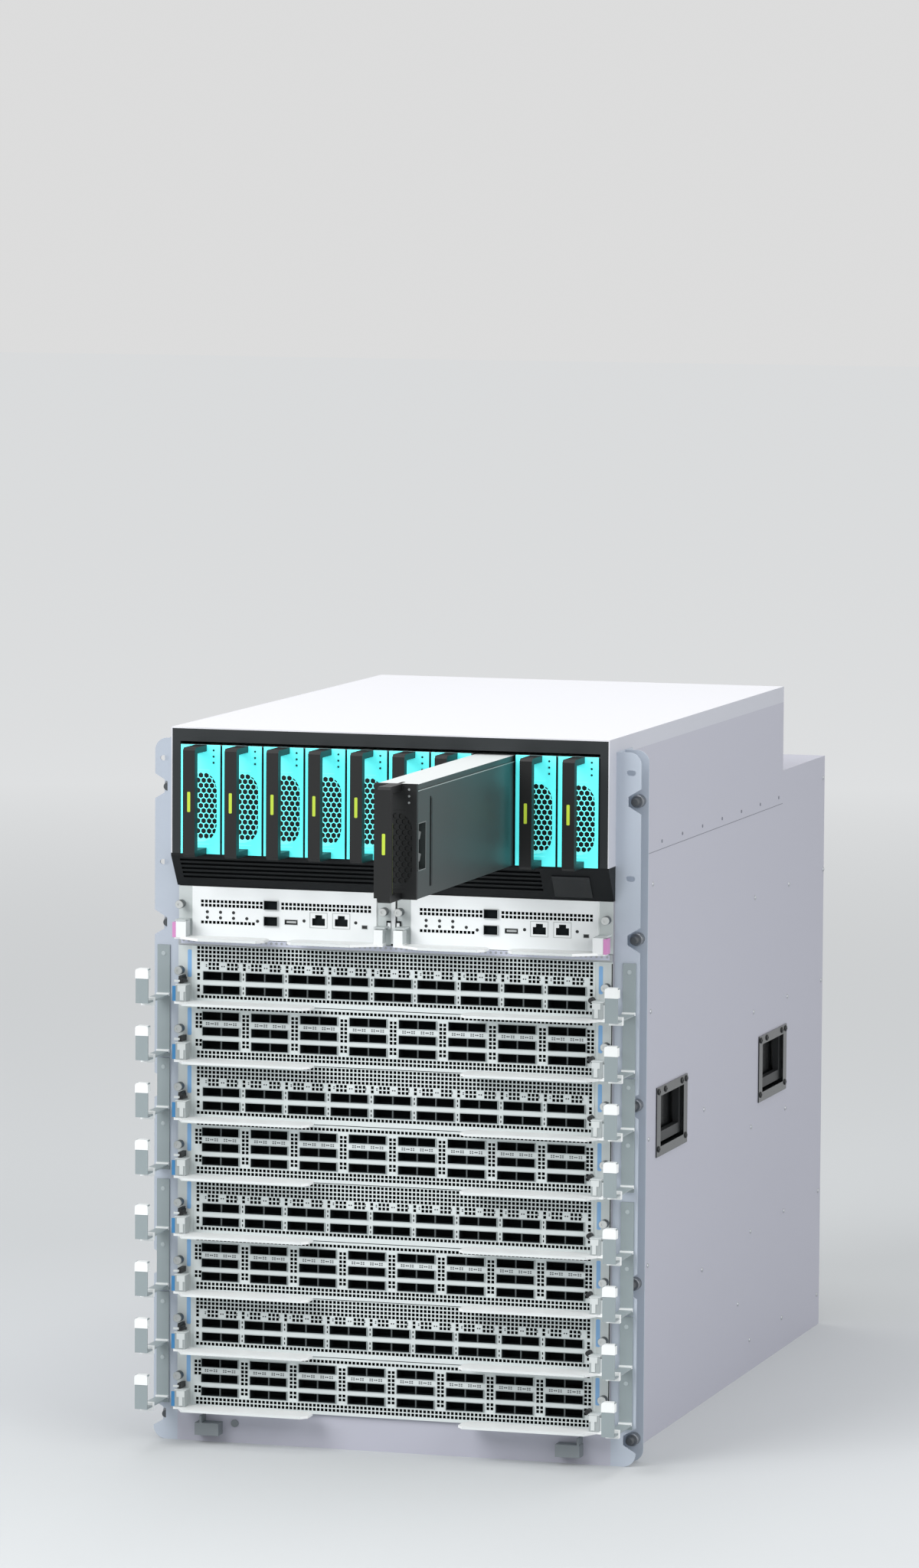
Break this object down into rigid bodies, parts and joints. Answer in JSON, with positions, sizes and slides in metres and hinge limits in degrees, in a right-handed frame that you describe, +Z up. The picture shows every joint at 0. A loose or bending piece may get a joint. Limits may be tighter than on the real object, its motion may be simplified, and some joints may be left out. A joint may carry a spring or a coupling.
{
  "type": "modular chassis switch",
  "caption": "Tall rack-mount network chassis with plug-in supplies across the top, two supervisor cards, a stack of line cards, cable hooks, carry handles and rear fan trays.",
  "frame": {"origin": "centre of the underside of the base, halfway between the front faces of the ears and the back of the lower section", "axes": "+X to the right seen from the front, +Y to the back, +Z up"},
  "size_m": [0.4826, 1.2395, 0.694],
  "materials": {
    "side_panel": "satin",
    "top_paint": "satin",
    "inner_steel": "satin",
    "bezel_dark": "satin",
    "grille_black": "matt",
    "screen": "gloss",
    "ear_paint": "satin",
    "guide_grey": "satin",
    "pan_black": "gloss",
    "bail_black": "satin",
    "board_green": "satin",
    "inlet_black": "matt",
    "fitting_grey": "satin",
    "supply_case": "satin",
    "card_panel": "satin",
    "supervisor_panel": "satin",
    "lever_white": "satin",
    "fan_tray": "satin"
  },
  "bodies": {
    "chassis": {"chassis_shell": "side_panel", "base_plate": "side_panel", "card_cage": "inner_steel", "top_cover": "top_paint", "front_bezel": "bezel_dark", "intake_grille": "grille_black", "status_screen": "screen", "rack_ears": "ear_paint", "cable_guides": "guide_grey", "handle_pans": "pan_black", "backplanes": "board_green", "power_inlets": "inlet_black", "base_fittings": "fitting_grey"},
    "supply_1_body": {"supply_1": "supply_case"},
    "supply_2_body": {"supply_2": "supply_case"},
    "supply_3_body": {"supply_3": "supply_case"},
    "supply_4_body": {"supply_4": "supply_case"},
    "supply_5_body": {"supply_5": "supply_case"},
    "supply_6_body": {"supply_6": "supply_case"},
    "supply_7_body": {"supply_7": "supply_case"},
    "supply_8_body": {"supply_8": "supply_case"},
    "supply_9_body": {"supply_9": "supply_case"},
    "supply_10_body": {"supply_10": "supply_case"},
    "supervisor_left_body": {"supervisor_left": "supervisor_panel"},
    "supervisor_right_body": {"supervisor_right": "supervisor_panel"},
    "supervisor_lever_1_body": {"supervisor_lever_1": "lever_white"},
    "supervisor_lever_2_body": {"supervisor_lever_2": "lever_white"},
    "supervisor_lever_3_body": {"supervisor_lever_3": "lever_white"},
    "supervisor_lever_4_body": {"supervisor_lever_4": "lever_white"},
    "line_card_1_body": {"line_card_1": "card_panel"},
    "line_card_2_body": {"line_card_2": "card_panel"},
    "line_card_3_body": {"line_card_3": "card_panel"},
    "line_card_4_body": {"line_card_4": "card_panel"},
    "line_card_5_body": {"line_card_5": "card_panel"},
    "line_card_6_body": {"line_card_6": "card_panel"},
    "line_card_7_body": {"line_card_7": "card_panel"},
    "line_card_8_body": {"line_card_8": "card_panel"},
    "card_lever_1_left_body": {"card_lever_1_left": "lever_white"},
    "card_lever_1_right_body": {"card_lever_1_right": "lever_white"},
    "card_lever_2_left_body": {"card_lever_2_left": "lever_white"},
    "card_lever_2_right_body": {"card_lever_2_right": "lever_white"},
    "card_lever_3_left_body": {"card_lever_3_left": "lever_white"},
    "card_lever_3_right_body": {"card_lever_3_right": "lever_white"},
    "card_lever_4_left_body": {"card_lever_4_left": "lever_white"},
    "card_lever_4_right_body": {"card_lever_4_right": "lever_white"},
    "card_lever_5_left_body": {"card_lever_5_left": "lever_white"},
    "card_lever_5_right_body": {"card_lever_5_right": "lever_white"},
    "card_lever_6_left_body": {"card_lever_6_left": "lever_white"},
    "card_lever_6_right_body": {"card_lever_6_right": "lever_white"},
    "card_lever_7_left_body": {"card_lever_7_left": "lever_white"},
    "card_lever_7_right_body": {"card_lever_7_right": "lever_white"},
    "card_lever_8_left_body": {"card_lever_8_left": "lever_white"},
    "card_lever_8_right_body": {"card_lever_8_right": "lever_white"},
    "carry_bail_1_body": {"carry_bail_1": "bail_black"},
    "carry_bail_2_body": {"carry_bail_2": "bail_black"},
    "carry_bail_3_body": {"carry_bail_3": "bail_black"},
    "carry_bail_4_body": {"carry_bail_4": "bail_black"},
    "fan_tray_1_body": {"fan_tray_1": "fan_tray"},
    "fan_tray_2_body": {"fan_tray_2": "fan_tray"},
    "fan_tray_3_body": {"fan_tray_3": "fan_tray"}
  },
  "joints": [
    {"name": "supply_1_slide", "type": "slide", "parent": "chassis", "child": "supply_1_body", "axis": [0, -1, 0], "range_m": [0, 0.4]},
    {"name": "supply_2_slide", "type": "slide", "parent": "chassis", "child": "supply_2_body", "axis": [0, -1, 0], "range_m": [0, 0.4]},
    {"name": "supply_3_slide", "type": "slide", "parent": "chassis", "child": "supply_3_body", "axis": [0, -1, 0], "range_m": [0, 0.4]},
    {"name": "supply_4_slide", "type": "slide", "parent": "chassis", "child": "supply_4_body", "axis": [0, -1, 0], "range_m": [0, 0.4]},
    {"name": "supply_5_slide", "type": "slide", "parent": "chassis", "child": "supply_5_body", "axis": [0, -1, 0], "range_m": [0, 0.4]},
    {"name": "supply_6_slide", "type": "slide", "parent": "chassis", "child": "supply_6_body", "axis": [0, -1, 0], "range_m": [0, 0.4]},
    {"name": "supply_7_slide", "type": "slide", "parent": "chassis", "child": "supply_7_body", "axis": [0, -1, 0], "range_m": [0, 0.4]},
    {"name": "supply_8_slide", "type": "slide", "parent": "chassis", "child": "supply_8_body", "axis": [0, -1, 0], "range_m": [-0.318, 0.08]},
    {"name": "supply_9_slide", "type": "slide", "parent": "chassis", "child": "supply_9_body", "axis": [0, -1, 0], "range_m": [0, 0.4]},
    {"name": "supply_10_slide", "type": "slide", "parent": "chassis", "child": "supply_10_body", "axis": [0, -1, 0], "range_m": [0, 0.4]},
    {"name": "supervisor_left_slide", "type": "slide", "parent": "chassis", "child": "supervisor_left_body", "axis": [0, -1, 0], "range_m": [0, 0.34]},
    {"name": "supervisor_right_slide", "type": "slide", "parent": "chassis", "child": "supervisor_right_body", "axis": [0, -1, 0], "range_m": [0, 0.34]},
    {"name": "line_card_1_slide", "type": "slide", "parent": "chassis", "child": "line_card_1_body", "axis": [0, -1, 0], "range_m": [0, 0.5]},
    {"name": "line_card_2_slide", "type": "slide", "parent": "chassis", "child": "line_card_2_body", "axis": [0, -1, 0], "range_m": [0, 0.5]},
    {"name": "line_card_3_slide", "type": "slide", "parent": "chassis", "child": "line_card_3_body", "axis": [0, -1, 0], "range_m": [0, 0.5]},
    {"name": "line_card_4_slide", "type": "slide", "parent": "chassis", "child": "line_card_4_body", "axis": [0, -1, 0], "range_m": [0, 0.5]},
    {"name": "line_card_5_slide", "type": "slide", "parent": "chassis", "child": "line_card_5_body", "axis": [0, -1, 0], "range_m": [0, 0.5]},
    {"name": "line_card_6_slide", "type": "slide", "parent": "chassis", "child": "line_card_6_body", "axis": [0, -1, 0], "range_m": [0, 0.5]},
    {"name": "line_card_7_slide", "type": "slide", "parent": "chassis", "child": "line_card_7_body", "axis": [0, -1, 0], "range_m": [0, 0.5]},
    {"name": "line_card_8_slide", "type": "slide", "parent": "chassis", "child": "line_card_8_body", "axis": [0, -1, 0], "range_m": [0, 0.5]},
    {"name": "card_lever_1_left_hinge", "type": "hinge", "parent": "line_card_1_body", "child": "card_lever_1_left_body", "pos_m": [-0.209, -0.4375, 0.4348], "axis": [0, 0, -1], "range_deg": [0, 60]},
    {"name": "card_lever_1_right_hinge", "type": "hinge", "parent": "line_card_1_body", "child": "card_lever_1_right_body", "pos_m": [0.209, -0.4375, 0.4348], "axis": [0, 0, 1], "range_deg": [0, 60]},
    {"name": "card_lever_2_left_hinge", "type": "hinge", "parent": "line_card_2_body", "child": "card_lever_2_left_body", "pos_m": [-0.209, -0.4375, 0.3786], "axis": [0, 0, -1], "range_deg": [0, 60]},
    {"name": "card_lever_2_right_hinge", "type": "hinge", "parent": "line_card_2_body", "child": "card_lever_2_right_body", "pos_m": [0.209, -0.4375, 0.3786], "axis": [0, 0, 1], "range_deg": [0, 60]},
    {"name": "card_lever_3_left_hinge", "type": "hinge", "parent": "line_card_3_body", "child": "card_lever_3_left_body", "pos_m": [-0.209, -0.4375, 0.3224], "axis": [0, 0, -1], "range_deg": [0, 60]},
    {"name": "card_lever_3_right_hinge", "type": "hinge", "parent": "line_card_3_body", "child": "card_lever_3_right_body", "pos_m": [0.209, -0.4375, 0.3224], "axis": [0, 0, 1], "range_deg": [0, 60]},
    {"name": "card_lever_4_left_hinge", "type": "hinge", "parent": "line_card_4_body", "child": "card_lever_4_left_body", "pos_m": [-0.209, -0.4375, 0.2662], "axis": [0, 0, -1], "range_deg": [0, 60]},
    {"name": "card_lever_4_right_hinge", "type": "hinge", "parent": "line_card_4_body", "child": "card_lever_4_right_body", "pos_m": [0.209, -0.4375, 0.2662], "axis": [0, 0, 1], "range_deg": [0, 60]},
    {"name": "card_lever_5_left_hinge", "type": "hinge", "parent": "line_card_5_body", "child": "card_lever_5_left_body", "pos_m": [-0.209, -0.4375, 0.21], "axis": [0, 0, -1], "range_deg": [0, 60]},
    {"name": "card_lever_5_right_hinge", "type": "hinge", "parent": "line_card_5_body", "child": "card_lever_5_right_body", "pos_m": [0.209, -0.4375, 0.21], "axis": [0, 0, 1], "range_deg": [0, 60]},
    {"name": "card_lever_6_left_hinge", "type": "hinge", "parent": "line_card_6_body", "child": "card_lever_6_left_body", "pos_m": [-0.209, -0.4375, 0.1538], "axis": [0, 0, -1], "range_deg": [0, 60]},
    {"name": "card_lever_6_right_hinge", "type": "hinge", "parent": "line_card_6_body", "child": "card_lever_6_right_body", "pos_m": [0.209, -0.4375, 0.1538], "axis": [0, 0, 1], "range_deg": [0, 60]},
    {"name": "card_lever_7_left_hinge", "type": "hinge", "parent": "line_card_7_body", "child": "card_lever_7_left_body", "pos_m": [-0.209, -0.4375, 0.0976], "axis": [0, 0, -1], "range_deg": [0, 60]},
    {"name": "card_lever_7_right_hinge", "type": "hinge", "parent": "line_card_7_body", "child": "card_lever_7_right_body", "pos_m": [0.209, -0.4375, 0.0976], "axis": [0, 0, 1], "range_deg": [0, 60]},
    {"name": "card_lever_8_left_hinge", "type": "hinge", "parent": "line_card_8_body", "child": "card_lever_8_left_body", "pos_m": [-0.209, -0.4375, 0.0414], "axis": [0, 0, -1], "range_deg": [0, 60]},
    {"name": "card_lever_8_right_hinge", "type": "hinge", "parent": "line_card_8_body", "child": "card_lever_8_right_body", "pos_m": [0.209, -0.4375, 0.0414], "axis": [0, 0, 1], "range_deg": [0, 60]},
    {"name": "supervisor_lever_1_hinge", "type": "hinge", "parent": "supervisor_left_body", "child": "supervisor_lever_1_body", "pos_m": [-0.209, -0.4375, 0.4976], "axis": [0, 0, -1], "range_deg": [0, 60]},
    {"name": "supervisor_lever_2_hinge", "type": "hinge", "parent": "supervisor_left_body", "child": "supervisor_lever_2_body", "pos_m": [-0.01, -0.4375, 0.4976], "axis": [0, 0, 1], "range_deg": [0, 60]},
    {"name": "supervisor_lever_3_hinge", "type": "hinge", "parent": "supervisor_right_body", "child": "supervisor_lever_3_body", "pos_m": [0.01, -0.4375, 0.4976], "axis": [0, 0, -1], "range_deg": [0, 60]},
    {"name": "supervisor_lever_4_hinge", "type": "hinge", "parent": "supervisor_right_body", "child": "supervisor_lever_4_body", "pos_m": [0.209, -0.4375, 0.4976], "axis": [0, 0, 1], "range_deg": [0, 60]},
    {"name": "carry_bail_1_hinge", "type": "hinge", "parent": "chassis", "child": "carry_bail_1_body", "pos_m": [0.2116, -0.2065, 0.327], "axis": [0, -1, 0], "range_deg": [0, 90]},
    {"name": "carry_bail_2_hinge", "type": "hinge", "parent": "chassis", "child": "carry_bail_2_body", "pos_m": [0.2116, 0.202, 0.327], "axis": [0, -1, 0], "range_deg": [0, 90]},
    {"name": "carry_bail_3_hinge", "type": "hinge", "parent": "chassis", "child": "carry_bail_3_body", "pos_m": [-0.2116, -0.2065, 0.327], "axis": [0, 1, 0], "range_deg": [0, 90]},
    {"name": "carry_bail_4_hinge", "type": "hinge", "parent": "chassis", "child": "carry_bail_4_body", "pos_m": [-0.2116, 0.202, 0.327], "axis": [0, 1, 0], "range_deg": [0, 90]},
    {"name": "fan_tray_1_slide", "type": "slide", "parent": "chassis", "child": "fan_tray_1_body", "axis": [0, 1, 0], "range_m": [0, 0.25]},
    {"name": "fan_tray_2_slide", "type": "slide", "parent": "chassis", "child": "fan_tray_2_body", "axis": [0, 1, 0], "range_m": [0, 0.25]},
    {"name": "fan_tray_3_slide", "type": "slide", "parent": "chassis", "child": "fan_tray_3_body", "axis": [0, 1, 0], "range_m": [0, 0.25]}
  ]
}
